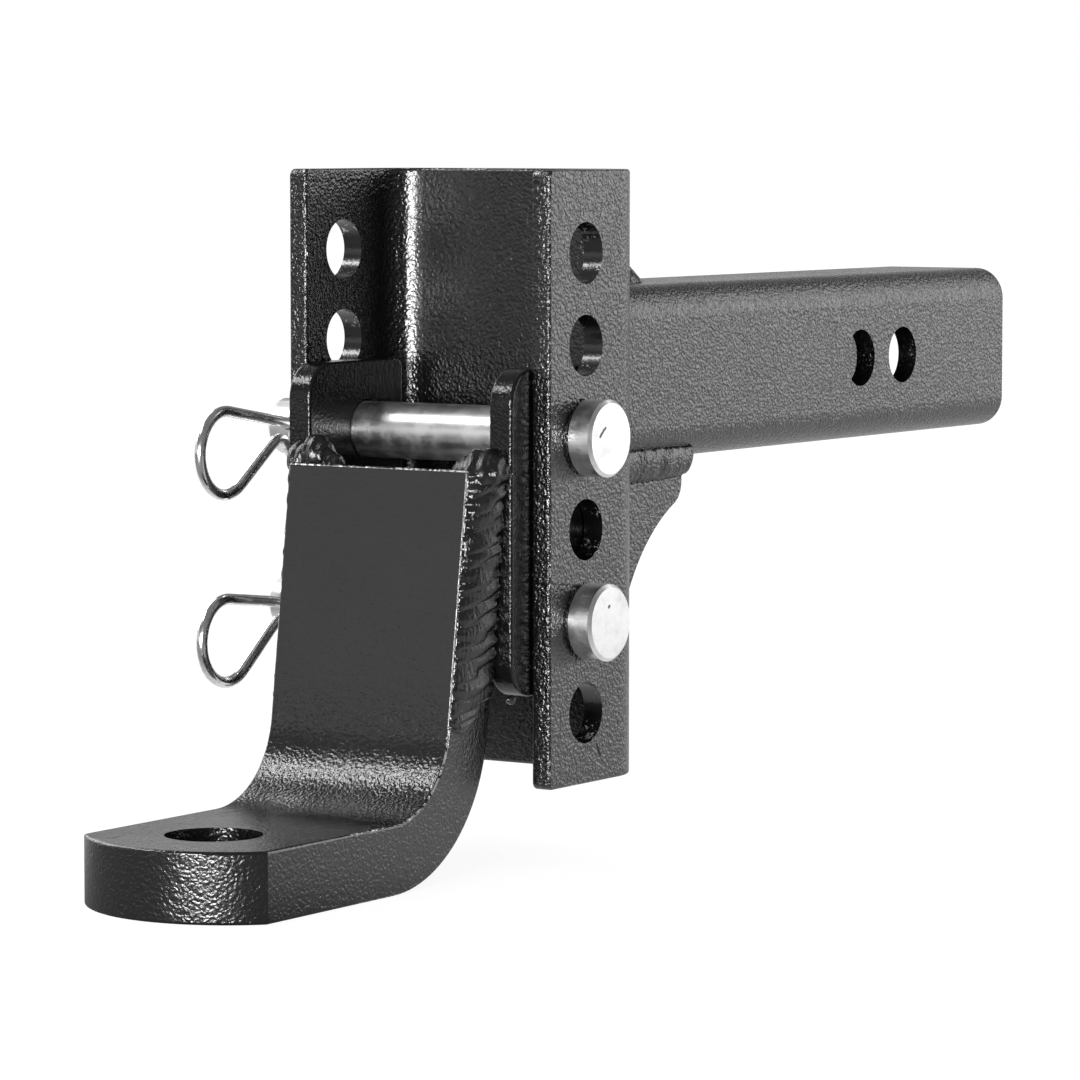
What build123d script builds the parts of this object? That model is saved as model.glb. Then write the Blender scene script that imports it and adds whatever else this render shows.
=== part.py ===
from build123d import *
import math
import os

# Adjustable ball mount: a hollow square shank, an upright channel with a row of pin holes,
# and a ball platform on two side plates that hangs in the channel on two pins with clips.
# Millimetres. +Z is up, the ball end points along -Y and the shank along +Y.
# The origin is the centre of the rear hitch pin hole of the shank.

# Shank tube
shank_side = 50.8
shank_wall = 6.35
shank_corner_radius = 9.5
shank_length = 246.0
hitch_hole_diameter = 17.5
rear_hole_to_end = 67.0
hitch_hole_spacing = 26.4

# Ball platform, one bent flat bar
platform_width = 60.0
platform_thickness = 19.05
platform_lean = 7.5
bend_inner_radius = 26.0
tongue_reach = 57.0
tongue_tip_radius = 40.0
ball_hole_diameter = 26.2
ball_hole_to_tip = 30.4
platform_below_upper_pin = 7.4
tongue_below_lower_pin = 49.3
platform_ahead_of_channel = 19.3

# Side plates of the sliding bracket
side_plate_thickness = 7.5
side_plate_depth = 45.3
side_plate_ahead_of_channel = 9.3
side_plate_pin_margin = 19.6
side_plate_corner_radius = 10.0
side_plate_rear_radius = 3.0
bracket_clearance = 0.3

# Upright channel
channel_wall = 6.0
channel_depth = 51.0
channel_inner_radius = 8.5
channel_corner_radius = 2.0
channel_hole_diameter = 17.0
channel_hole_setback = 18.2
channel_hole_pitch = 25.4
channel_hole_count = 6
top_hole_margin = 22.8
bottom_hole_margin = 19.8
shank_drop = 59.2
upper_pin_hole_number = 3
lower_pin_hole_number = 5

# Pull pins
pin_diameter = 15.9
pin_head_diameter = 21.4
pin_head_height = 7.2
pin_head_gap = 1.0
pin_head_bevel = 0.9
pin_end_overhang = 16.2
pin_end_bevel = 1.6
clip_hole_to_end = 8.0
clip_hole_clearance = 0.3

# Hairpin clips
wire_diameter = 3.2
clip_bow_radius = 11.7
clip_leg_to_bow = 36.0
clip_leg_tail = 24.0
clip_return_angle = 45.0
clip_hump_radius = 4.5
clip_pin_gap = 0.3
clip_tail_run = 8.0
clip_tail_flare = 24.0
upper_clip_tilt = 9.4
lower_clip_tilt = 6.4

# Gussets between channel and shank
cheek_thickness = 8.0
cheek_face_inset = 3.4
cheek_length = 52.8
cheek_height = 58.4
cheek_tip_height = 11.4
cheek_foot_width = 17.4
cheek_hollow = 8.3
cheek_tip_radius = 7.0
rib_thickness = 8.0
rib_length = 60.2
rib_height = 20.8
rib_tip_length = 7.2
rib_tip_height = 4.8
rib_tip_radius = 9.0

# Weld beads
shank_weld_leg = 5.0
rib_weld_leg = 3.6
cheek_weld_overrun = 7.2
cheek_weld_height = 9.4
cheek_weld_cover = 1.2
cheek_weld_bulge = 2.6
platform_weld_top_leg = 5.5
platform_weld_bottom_leg = 0.8
platform_weld_bulge = 1.4
platform_weld_below_plate = 4.0
platform_weld_start = 2.6
foot_weld_leg = 5.0

# Broken edges
plate_edge_radius = 0.9
platform_edge_radius = 0.8
tube_edge_radius = 0.8

# Places worked out from the sizes above
pin_radius = pin_diameter / 2
wire_radius = wire_diameter / 2
half_platform = platform_width / 2
side_plate_outer = half_platform + side_plate_thickness
channel_inner_half = side_plate_outer + bracket_clearance
channel_half = channel_inner_half + channel_wall
channel_outer_radius = channel_inner_radius + channel_wall
channel_height = top_hole_margin + channel_hole_pitch * (channel_hole_count - 1) + bottom_hole_margin
web_back_y = rear_hole_to_end - shank_length
channel_front_y = web_back_y - channel_depth
web_front_y = web_back_y - channel_wall
pin_y = channel_front_y + channel_hole_setback
channel_top_z = shank_drop
channel_bottom_z = channel_top_z - channel_height
upper_pin_z = channel_top_z - top_hole_margin - channel_hole_pitch * (upper_pin_hole_number - 1)
lower_pin_z = channel_top_z - top_hole_margin - channel_hole_pitch * (lower_pin_hole_number - 1)
side_plate_front_y = channel_front_y - side_plate_ahead_of_channel
side_plate_top_z = upper_pin_z + side_plate_pin_margin
side_plate_bottom_z = lower_pin_z - side_plate_pin_margin
shank_bottom_z = -shank_side / 2
shank_top_z = shank_side / 2
clip_x = -channel_half - pin_end_overhang + clip_hole_to_end

# The platform's upright leans; this is the way up along it and the way through its thickness
lean = math.radians(platform_lean)
leg_up = (math.sin(lean), math.cos(lean))
leg_back = (math.cos(lean), -math.sin(lean))
platform_top = (channel_front_y - platform_ahead_of_channel, upper_pin_z - platform_below_upper_pin)
tongue_top_z = lower_pin_z - tongue_below_lower_pin
bend_centre_z = tongue_top_z + bend_inner_radius
leg_length = (platform_top[1] - bend_centre_z + bend_inner_radius * math.sin(lean)) / math.cos(lean)
bend_centre_y = platform_top[0] - leg_length * math.sin(lean) - bend_inner_radius * math.cos(lean)
tip_y = bend_centre_y - tongue_reach - (tongue_tip_radius - math.sqrt(tongue_tip_radius**2 - half_platform**2))
ball_hole_y = tip_y + ball_hole_to_tip


def platform_front_y(z):
    """The upright's front face at a height."""
    return platform_top[0] - (platform_top[1] - z) * math.tan(lean)


def yz_prism(outline, x_start, x_end):
    """A closed outline of edges in the YZ plane, carried from one X to another."""
    return extrude(Plane.YZ.offset(x_start) * make_face(outline), x_end - x_start)


def cross_bar(diameter, y, z, x_start, x_end):
    """A round bar along X."""
    place = Plane(origin=(x_start, y, z), z_dir=(1, 0, 0))
    return extrude(place * Circle(diameter / 2), x_end - x_start)


def polygon(points):
    """Straight edges round a list of points, back to the first."""
    return Polyline(*points, close=True)


def make_shank_tube():
    place = Plane(origin=(0, web_back_y, 0), x_dir=(1, 0, 0), z_dir=(0, 1, 0))
    outside = RectangleRounded(shank_side, shank_side, shank_corner_radius)
    bore_side = shank_side - 2 * shank_wall
    inside = RectangleRounded(bore_side, bore_side, shank_corner_radius - shank_wall)
    tube = extrude(place * (outside - inside), shank_length)
    for y in (0, -hitch_hole_spacing):
        tube -= cross_bar(hitch_hole_diameter, y, 0, -shank_side, shank_side)
    rim = tube.faces().sort_by(Axis.Y)[-1].edges()
    return fillet(rim, tube_edge_radius)


def hole_heights():
    return [channel_top_z - top_hole_margin - channel_hole_pitch * k for k in range(channel_hole_count)]


def is_channel_rim(edge):
    """True for the channel's sharp edges, false for the smooth lines beside its bends and corners."""
    beside_bend = abs(edge.tangent_at(0.5).Z) > 0.99 and edge.center().Y > channel_front_y + channel_wall
    beside_corner = abs(edge.tangent_at(0.5).X) > 0.99 and edge.length < 2 * channel_wall
    return not beside_bend and not beside_corner


def make_channel():
    corner = Align.CENTER, Align.MIN
    outside = Pos(0, channel_front_y) * Rectangle(2 * channel_half, channel_depth, align=corner)
    outside = fillet(outside.vertices().group_by(Axis.Y)[-1], channel_outer_radius)
    inner_depth = channel_depth - channel_wall
    inside = Pos(0, channel_front_y) * Rectangle(2 * channel_inner_half, inner_depth, align=corner)
    inside = fillet(inside.vertices().group_by(Axis.Y)[-1], channel_inner_radius)
    channel = extrude(Pos(0, 0, channel_bottom_z) * (outside - inside), channel_height)
    front_edges = channel.edges().filter_by(Axis.X).group_by(Axis.Y)[0]
    channel = fillet(front_edges, channel_corner_radius)
    channel = fillet(channel.edges().filter_by(is_channel_rim), plate_edge_radius)
    for z in hole_heights():
        channel -= cross_bar(channel_hole_diameter, pin_y, z, -2 * channel_half, 2 * channel_half)
    return channel


def make_side_plate(side):
    """One cheek of the sliding bracket, with a hole for each pin."""
    front = side_plate_front_y
    back = front + side_plate_depth
    outline = polygon([
        (front, side_plate_bottom_z),
        (back, side_plate_bottom_z),
        (back, side_plate_top_z),
        (front, side_plate_top_z),
    ])
    face = make_face(outline)
    face = fillet(face.vertices().group_by(Axis.X)[0], side_plate_corner_radius)
    face = fillet(face.vertices().group_by(Axis.X)[-1], side_plate_rear_radius)
    inner = side * half_platform
    plate = extrude(Plane.YZ.offset(inner) * face, side * side_plate_thickness)
    plate = fillet(plate.faces().filter_by(Axis.X).edges(), plate_edge_radius)
    for z in (upper_pin_z, lower_pin_z):
        plate -= cross_bar(channel_hole_diameter, pin_y, z, -2 * channel_half, 2 * channel_half)
    return plate


def along_leg(point, up, back=0.0):
    """A point moved up the leaning upright and back through its thickness."""
    return (
        point[0] + up * leg_up[0] + back * leg_back[0],
        point[1] + up * leg_up[1] + back * leg_back[1],
    )


def make_ball_platform():
    """Flat bar bent to an L, its tongue cut to an arc and bored for the ball's shank."""
    centre = (bend_centre_y, bend_centre_z)
    outer_radius = bend_inner_radius + platform_thickness
    middle = math.radians((90 + platform_lean) / 2)
    to_middle = (math.cos(middle), -math.sin(middle))

    def on_arc(radius, way):
        return (centre[0] + radius * way[0], centre[1] + radius * way[1])

    inner_start = (centre[0], tongue_top_z)
    inner_end = on_arc(bend_inner_radius, leg_back)
    outer_start = on_arc(outer_radius, leg_back)
    outer_end = (centre[0], centre[1] - outer_radius)
    leg_top_front = along_leg(inner_end, leg_length)
    leg_top_back = along_leg(inner_end, leg_length, platform_thickness)
    outline = [
        Line((tip_y, tongue_top_z), inner_start),
        ThreePointArc(inner_start, on_arc(bend_inner_radius, to_middle), inner_end),
        Line(inner_end, leg_top_front),
        Line(leg_top_front, leg_top_back),
        Line(leg_top_back, outer_start),
        ThreePointArc(outer_start, on_arc(outer_radius, to_middle), outer_end),
        Line(outer_end, (tip_y, outer_end[1])),
        Line((tip_y, outer_end[1]), (tip_y, tongue_top_z)),
    ]
    bar = yz_prism(outline, -half_platform, half_platform)
    tip = Pos(0, tip_y + tongue_tip_radius) * Circle(tongue_tip_radius)
    rest = Pos(0, tip_y + tongue_tip_radius) * Rectangle(
        2 * tongue_tip_radius, 2 * channel_height, align=(Align.CENTER, Align.MIN))
    bar &= extrude(Pos(0, 0, channel_bottom_z - channel_height) * (tip + rest), 2 * channel_height)
    bar = fillet(bar.edges(), platform_edge_radius)
    bore = Pos(0, ball_hole_y, tongue_top_z) * Cylinder(ball_hole_diameter / 2, 3 * platform_thickness)
    return bar - bore


def weld_section(z, leg, side):
    """Fillet bead between the platform's side and a side plate's front edge, seen from above."""
    corner = (side * half_platform, side_plate_front_y)
    front = (side * half_platform, platform_front_y(z) + platform_edge_radius)
    toe = (side * (half_platform + leg), side_plate_front_y)
    reach = math.hypot(toe[0] - front[0], toe[1] - front[1])
    out = ((toe[1] - front[1]) / reach * side, -(abs(toe[0]) - abs(front[0])) / reach)
    crown = (
        (front[0] + toe[0]) / 2 + out[0] * platform_weld_bulge,
        (front[1] + toe[1]) / 2 + out[1] * platform_weld_bulge,
    )
    edges = [Line(corner, front), ThreePointArc(front, crown, toe), Line(toe, corner)]
    return Pos(0, 0, z) * make_face(edges)


def make_platform_weld(side):
    """Bead down the joint, tapering at its foot where it runs on below the side plate."""
    top = platform_top[1] - platform_weld_start
    foot = side_plate_bottom_z - platform_weld_below_plate
    sections = [
        weld_section(top, platform_weld_top_leg, side),
        weld_section(foot, platform_weld_bottom_leg, side),
    ]
    return loft(sections, ruled=True)


def make_shank_weld():
    """Fillet bead round the foot of the shank on the channel's web."""
    place = Plane(origin=(0, web_back_y, 0), x_dir=(1, 0, 0), z_dir=(0, 1, 0))
    grown = shank_side + 2 * shank_weld_leg
    outline = RectangleRounded(grown, grown, shank_corner_radius + shank_weld_leg)
    bead = extrude(place * outline, shank_weld_leg, taper=45)
    core = RectangleRounded(shank_side, shank_side, shank_corner_radius)
    return bead - extrude(place * core, 2 * shank_weld_leg)


def make_gusset_cheek(side):
    """Plate under one side of the shank, with a hollow free edge."""
    top = shank_bottom_z
    tip = (web_back_y + cheek_length, top - cheek_tip_height)
    foot = (web_back_y + cheek_foot_width, top - cheek_height)
    run = math.hypot(tip[0] - foot[0], tip[1] - foot[1])
    hollow = (
        (tip[0] + foot[0]) / 2 - (tip[1] - foot[1]) / run * cheek_hollow,
        (tip[1] + foot[1]) / 2 + (tip[0] - foot[0]) / run * cheek_hollow,
    )
    outline = [
        Line((web_back_y, top), (tip[0], top)),
        Line((tip[0], top), tip),
        ThreePointArc(tip, hollow, foot),
        Line(foot, (web_back_y, foot[1])),
        Line((web_back_y, foot[1]), (web_back_y, top)),
    ]
    face = make_face(outline)
    face = fillet(face.vertices().filter_by(lambda v: math.dist((v.X, v.Y), tip) < 0.01), cheek_tip_radius)
    outer = side * (shank_side / 2 - cheek_face_inset)
    return extrude(Plane.YZ.offset(outer) * face, -side * cheek_thickness)


def make_gusset_rib():
    """Low rib on top of the shank, on its centre line."""
    top = shank_top_z
    end = web_back_y + rib_length
    knee = (end - rib_tip_length, top + rib_tip_height)
    face = make_face(polygon([(web_back_y, top), (end, top), knee, (web_back_y, top + rib_height)]))
    face = fillet(face.vertices().filter_by(lambda v: math.dist((v.X, v.Y), knee) < 0.01), rib_tip_radius)
    return extrude(Plane.YZ.offset(-rib_thickness / 2) * face, rib_thickness)


def make_cheek_weld(side, tube, cheek):
    """Broad bead that fills the shank's rounded lower edge down to the cheek's face."""
    face_x = shank_side / 2 - cheek_face_inset
    heart = (shank_side / 2 - shank_corner_radius, shank_bottom_z + shank_corner_radius)
    toe_out = face_x + cheek_weld_cover
    upper_toe = (toe_out, heart[1] - math.sqrt(shank_corner_radius**2 - (toe_out - heart[0])**2))
    lower_toe = (face_x, upper_toe[1] - cheek_weld_height)
    crown = (face_x + cheek_weld_bulge, (upper_toe[1] + lower_toe[1]) / 2)
    in_cheek = (heart[0], lower_toe[1])
    in_wall = (heart[0], shank_bottom_z + shank_wall / 2)
    corners = [(side * x, z) for x, z in (upper_toe, crown, lower_toe, in_cheek, in_wall)]
    outline = [
        ThreePointArc(corners[0], corners[1], corners[2]),
        Line(corners[2], corners[3]),
        Line(corners[3], corners[4]),
        Line(corners[4], corners[0]),
    ]
    start = shank_weld_leg
    length = cheek_length + cheek_weld_overrun - start
    place = Plane(origin=(0, web_back_y + start, 0), x_dir=(1, 0, 0), z_dir=(0, -1, 0))
    return extrude(place * make_face(outline), -length) - tube - cheek


def make_rib_weld(side):
    """Small fillet bead along the foot of the rib, from the shank's bead to near the rib's end."""
    root = side * rib_thickness / 2
    outline = polygon([
        (root, shank_top_z),
        (root + side * rib_weld_leg, shank_top_z),
        (root, shank_top_z + rib_weld_leg),
    ])
    start = shank_weld_leg
    place = Plane(origin=(0, web_back_y + start, 0), x_dir=(1, 0, 0), z_dir=(0, -1, 0))
    return extrude(place * make_face(outline), -(rib_length - rib_weld_leg - start))


def make_foot_weld(side):
    """Upright fillet bead between a cheek's outer face and the channel's back."""
    root = side * (shank_side / 2 - cheek_face_inset)
    outline = polygon([
        (root, web_back_y),
        (root + side * foot_weld_leg, web_back_y),
        (root, web_back_y + foot_weld_leg),
    ])
    bottom = shank_bottom_z - cheek_height
    top = shank_bottom_z - shank_weld_leg
    return extrude(Pos(0, 0, bottom) * make_face(outline), top - bottom)


def turned_about_pin(shape, z, tilt):
    """Local clip axes put at a pin: X along the pin, -Y along the straight leg, then tilted."""
    return Pos(clip_x, pin_y, z) * Rot(-tilt, 0, 0) * shape


def make_pin(z, tilt):
    """Headed pin through the channel and side plates, with a cross hole for the clip."""
    head_x = channel_half + pin_head_gap
    end_x = -channel_half - pin_end_overhang
    shaft = cross_bar(pin_diameter, pin_y, z, end_x, head_x)
    shaft = chamfer(shaft.edges().group_by(Axis.X)[0], pin_end_bevel)
    head = cross_bar(pin_head_diameter, pin_y, z, head_x, head_x + pin_head_height)
    head = chamfer(head.edges().group_by(Axis.X)[-1], pin_head_bevel)
    drill = Cylinder(wire_radius + clip_hole_clearance, 2 * pin_diameter, rotation=(90, 0, 0))
    return shaft + head - turned_about_pin(drill, z, tilt)


def clip_path():
    """Centre line of the wire in local Y and Z, the pin's centre at the origin.

    Straight leg through the pin, round bow, return leg, a hump just short of the pin,
    a wrap under the pin, a second hump and a flared tail.
    """
    wrap = pin_radius + clip_pin_gap + wire_radius
    turn = math.radians(clip_return_angle)
    bow = (-clip_leg_to_bow, -clip_bow_radius)

    def round_bow(angle):
        return (bow[0] - clip_bow_radius * math.sin(angle), bow[1] + clip_bow_radius * math.cos(angle))

    bow_end = round_bow(math.pi + turn)
    # The return leg runs up at the return angle and touches the hump's circle,
    # which in turn touches the wrap's circle round the pin
    run = (math.cos(turn), math.sin(turn))
    below = (math.sin(turn), -math.cos(turn))
    offset = bow_end[0] * below[0] + bow_end[1] * below[1] + clip_hump_radius
    along = -math.sqrt((wrap + clip_hump_radius) ** 2 - offset**2)
    hump = (offset * below[0] + along * run[0], offset * below[1] + along * run[1])
    run_end = (hump[0] - clip_hump_radius * below[0], hump[1] - clip_hump_radius * below[1])
    share = wrap / (wrap + clip_hump_radius)
    wrap_start = (hump[0] * share, hump[1] * share)

    def on_circle(centre, radius, a, b):
        """The point half way along the arc between two points of a circle, on their outer side."""
        way = ((a[0] + b[0]) / 2 - centre[0], (a[1] + b[1]) / 2 - centre[1])
        size = math.hypot(*way)
        return (centre[0] + way[0] / size * radius, centre[1] + way[1] / size * radius)

    rear_hump = (-hump[0], hump[1])
    wrap_end = (-wrap_start[0], wrap_start[1])
    flare = math.radians(clip_tail_flare)
    tail_start = (
        rear_hump[0] + clip_hump_radius * math.sin(flare),
        rear_hump[1] + clip_hump_radius * math.cos(flare),
    )
    tail_end = (
        tail_start[0] + clip_tail_run * math.cos(flare),
        tail_start[1] - clip_tail_run * math.sin(flare),
    )
    leg_start = (clip_leg_tail, 0)
    leg_end = (-clip_leg_to_bow, 0)
    edges = [
        Line(leg_start, leg_end),
        ThreePointArc(leg_end, round_bow((math.pi + turn) / 2), bow_end),
        Line(bow_end, run_end),
        ThreePointArc(run_end, on_circle(hump, clip_hump_radius, run_end, wrap_start), wrap_start),
        ThreePointArc(wrap_start, (0, -wrap), wrap_end),
        ThreePointArc(wrap_end, on_circle(rear_hump, clip_hump_radius, wrap_end, tail_start), tail_start),
        Line(tail_start, tail_end),
    ]
    return Plane.YZ * Wire(edges)


def make_clip(z, tilt):
    path = clip_path()
    start = Plane(origin=path @ 0, z_dir=path % 0)
    wire = sweep(start * Circle(wire_radius), path=path)
    return turned_about_pin(wire, z, tilt)


tube = make_shank_tube()
cheeks = {side: make_gusset_cheek(side) for side in (-1, 1)}
rib = make_gusset_rib()
shank_beads = (make_shank_weld() - cheeks[-1] - cheeks[1] - rib).solids().sort_by(Axis.X)
names = {-1: "left", 1: "right"}

parts = {
    "shank_tube": tube,
    "channel": make_channel(),
    "gusset_rib": rib,
    "shank_weld_left": shank_beads[0],
    "shank_weld_under": shank_beads[1],
    "shank_weld_right": shank_beads[2],
    "ball_platform": make_ball_platform(),
    "upper_pin": make_pin(upper_pin_z, upper_clip_tilt),
    "lower_pin": make_pin(lower_pin_z, lower_clip_tilt),
    "upper_clip": make_clip(upper_pin_z, upper_clip_tilt),
    "lower_clip": make_clip(lower_pin_z, lower_clip_tilt),
}
for side, name in names.items():
    parts["gusset_cheek_" + name] = cheeks[side]
    parts["gusset_cheek_weld_" + name] = make_cheek_weld(side, tube, cheeks[side])
    parts["gusset_foot_weld_" + name] = make_foot_weld(side)
    parts["gusset_rib_weld_" + name] = make_rib_weld(side)
    parts["side_plate_" + name] = make_side_plate(side)
    parts["platform_weld_" + name] = make_platform_weld(side)

os.makedirs("parts", exist_ok=True)
for name, shape in parts.items():
    export_step(shape, "parts/" + name + ".step")
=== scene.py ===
import math

import bpy
import numpy as np
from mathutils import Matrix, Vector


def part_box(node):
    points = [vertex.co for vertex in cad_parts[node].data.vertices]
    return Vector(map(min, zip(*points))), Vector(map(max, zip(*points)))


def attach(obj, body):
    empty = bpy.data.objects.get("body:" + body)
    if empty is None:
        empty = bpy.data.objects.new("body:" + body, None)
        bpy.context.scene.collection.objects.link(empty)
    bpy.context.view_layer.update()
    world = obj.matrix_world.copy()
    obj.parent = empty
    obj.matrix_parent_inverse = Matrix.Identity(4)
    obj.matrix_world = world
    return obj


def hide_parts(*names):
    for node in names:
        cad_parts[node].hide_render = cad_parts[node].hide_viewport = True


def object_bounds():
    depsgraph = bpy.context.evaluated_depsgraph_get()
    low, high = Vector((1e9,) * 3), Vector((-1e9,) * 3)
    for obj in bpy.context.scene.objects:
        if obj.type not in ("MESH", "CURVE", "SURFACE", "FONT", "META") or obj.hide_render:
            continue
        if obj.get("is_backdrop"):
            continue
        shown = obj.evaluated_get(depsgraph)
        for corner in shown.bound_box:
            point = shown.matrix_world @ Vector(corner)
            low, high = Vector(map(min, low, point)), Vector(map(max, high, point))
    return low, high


bl_info = {
    "name": "Adjustable Ball Mount",
    "version": (1, 0, 0),
    "blender": (4, 5, 0),
    "location": "View3D > Sidebar > Ball Mount",
    "description": "Dresses the adjustable ball mount: coated steel, weld beads, plated pins and clips",
    "category": "Object",
}

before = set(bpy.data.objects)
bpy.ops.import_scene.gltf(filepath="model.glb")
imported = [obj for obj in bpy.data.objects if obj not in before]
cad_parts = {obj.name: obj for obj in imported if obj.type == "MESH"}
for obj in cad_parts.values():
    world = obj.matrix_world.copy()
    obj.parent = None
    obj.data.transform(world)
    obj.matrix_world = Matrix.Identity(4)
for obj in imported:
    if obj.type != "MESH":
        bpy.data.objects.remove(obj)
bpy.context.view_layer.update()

MM = 0.001
SKIN_GRID = 0.00028  # size of the cubes that a remeshed bead's skin is built on
BODY = "ball_mount"
SIDES = {"left": -1.0, "right": 1.0}
COATED_NODES = ("shank_tube", "channel", "gusset_rib", "gusset_cheek_left", "gusset_cheek_right",
                "side_plate_left", "side_plate_right", "ball_platform")


# Sizes and finishes that a user would change

class CoatSettings(bpy.types.PropertyGroup):
    """The wrinkled black powder coat on the steel."""

    colour: bpy.props.FloatVectorProperty(
        name="Colour", description="Colour of the coat", subtype="COLOR", size=3,
        min=0.0, max=1.0, default=(0.004, 0.004, 0.0041))
    worn_colour: bpy.props.FloatVectorProperty(
        name="Chip Colour", description="Colour where the coat is chipped along an edge",
        subtype="COLOR", size=3, min=0.0, max=1.0, default=(0.60, 0.60, 0.60))
    roughness: bpy.props.FloatProperty(
        name="Roughness", description="Roughness of the coat", min=0.0, max=1.0, default=0.21)
    grain: bpy.props.FloatProperty(
        name="Grain", description="Distance between the coat's wrinkles", unit="LENGTH",
        min=0.0002, max=0.01, default=0.0009)
    grain_depth: bpy.props.FloatProperty(
        name="Grain Depth", description="Depth of the coat's wrinkles", unit="LENGTH",
        min=0.0, max=0.001, default=0.00045)


class WeldSettings(bpy.types.PropertyGroup):
    """The weld beads under the coat."""

    ripple: bpy.props.FloatProperty(
        name="Ripple", description="Distance from one ripple to the next", unit="LENGTH",
        min=0.0005, max=0.01, default=0.0050)
    ripple_depth: bpy.props.FloatProperty(
        name="Ripple Depth", description="Height of each ripple's lip", unit="LENGTH",
        min=0.0, max=0.002, default=0.00080)
    roughness: bpy.props.FloatProperty(
        name="Roughness", description="Roughness of the coat on the beads", min=0.0, max=1.0, default=0.06)


class PlateSettings(bpy.types.PropertyGroup):
    """The bright finish of pins and clips."""

    pin_colour: bpy.props.FloatVectorProperty(
        name="Pin Colour", description="Colour of the zinc plated pins", subtype="COLOR", size=3,
        min=0.0, max=1.0, default=(0.88, 0.88, 0.89))
    wire_colour: bpy.props.FloatVectorProperty(
        name="Wire Colour", description="Colour of the clips' wire", subtype="COLOR", size=3,
        min=0.0, max=1.0, default=(0.92, 0.92, 0.93))


class StageSettings(bpy.types.PropertyGroup):
    """Camera, lamps and floor."""

    lens: bpy.props.FloatProperty(
        name="Lens", description="Focal length for a 36 mm wide picture", min=10.0, max=500.0, default=164.12)
    turn: bpy.props.FloatProperty(
        name="Turn", description="Camera's turn about the upright", subtype="ANGLE",
        default=math.radians(33.266))
    tilt: bpy.props.FloatProperty(
        name="Tilt", description="Camera's tilt, 90 degrees where it looks level", subtype="ANGLE",
        default=math.radians(85.236))
    place: bpy.props.FloatVectorProperty(
        name="Place", description="Where the camera stands", subtype="XYZ", unit="LENGTH", size=3,
        default=(0.77546, -1.35018, 0.07012))


def settings(name):
    """The scene's settings of one kind."""
    return getattr(bpy.context.scene, "ballmount_" + name)


# Node helpers

def add(tree, kind, inputs=None, **values):
    """One shader node, its inputs linked where given a socket and set where given a value."""
    made = tree.nodes.new(kind)
    for key, value in values.items():
        setattr(made, key, value)
    for key, value in (inputs or {}).items():
        if isinstance(value, bpy.types.NodeSocket):
            tree.links.new(value, made.inputs[key])
        else:
            made.inputs[key].default_value = value
    return made


def sums(tree, operation, a, b=0.0, clamp=False):
    """A Math node's output."""
    return add(tree, "ShaderNodeMath", {0: a, 1: b}, operation=operation, use_clamp=clamp).outputs[0]


def step(tree, value, low, high, out_low=0.0, out_high=1.0):
    """A smooth step of a value from one level to another."""
    made = add(tree, "ShaderNodeMapRange", {"Value": value, "From Min": low, "From Max": high,
                                            "To Min": out_low, "To Max": out_high},
               interpolation_type="SMOOTHSTEP")
    return made.outputs["Result"]


def blend(tree, factor, a, b):
    """A mix of two colours."""
    made = add(tree, "ShaderNodeMix", data_type="RGBA")
    for socket, value in ((made.inputs[0], factor), (made.inputs[6], a), (made.inputs[7], b)):
        if isinstance(value, bpy.types.NodeSocket):
            tree.links.new(value, socket)
        else:
            socket.default_value = value
    return made.outputs[2]


def vectors(tree, operation, a, b=(0.0, 0.0, 0.0), output="Vector"):
    """A Vector Math node's output."""
    return add(tree, "ShaderNodeVectorMath", {0: a, 1: b}, operation=operation).outputs[output]


def scaled(tree, vector, factor):
    """A vector times a number."""
    return add(tree, "ShaderNodeVectorMath", {0: vector, "Scale": factor}, operation="SCALE").outputs["Vector"]


def parts(tree, vector):
    """A vector's X, Y and Z."""
    return add(tree, "ShaderNodeSeparateXYZ", {0: vector}).outputs


def noise(tree, place, scale, detail=2.0, roughness=0.5, output="Fac"):
    """A noise with lumps 1 / scale apart."""
    return add(tree, "ShaderNodeTexNoise", {"Vector": place, "Scale": scale, "Detail": detail,
                                            "Roughness": roughness}).outputs[output]


def moved(tree, place, shove, reach):
    """A place moved by a noise's colour, by up to about half the reach each way."""
    shift = vectors(tree, "SUBTRACT", shove, (0.5, 0.5, 0.5))
    return vectors(tree, "ADD", place, scaled(tree, shift, reach))


def in_box(tree, place, middle, half, soft=0.0006):
    """1 inside a box and 0 outside it, with a soft border."""
    away = vectors(tree, "ABSOLUTE", vectors(tree, "SUBTRACT", place, middle))
    past = parts(tree, vectors(tree, "SUBTRACT", away, half))
    outside = sums(tree, "MAXIMUM", sums(tree, "MAXIMUM", past["X"], past["Y"]), past["Z"])
    return step(tree, outside, 0.0, soft, 1.0, 0.0)


def faded(tree, value, mask, share):
    """A value less a share of itself where a mask is 1."""
    return sums(tree, "MULTIPLY", value, sums(tree, "SUBTRACT", 1.0, sums(tree, "MULTIPLY", mask, share)))


def most_of(tree, masks):
    """The largest of several masks."""
    whole = masks[0]
    for mask in masks[1:]:
        whole = sums(tree, "MAXIMUM", whole, mask)
    return whole


def bump(tree, shader, height):
    """Let a height in metres tilt the shader's normal."""
    made = add(tree, "ShaderNodeBump", {"Height": height, "Strength": 1.0, "Distance": 1.0})
    tree.links.new(made.outputs["Normal"], shader.inputs["Normal"])


def rgba(colour):
    """A colour with an alpha of 1."""
    return (colour[0], colour[1], colour[2], 1.0)


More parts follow.
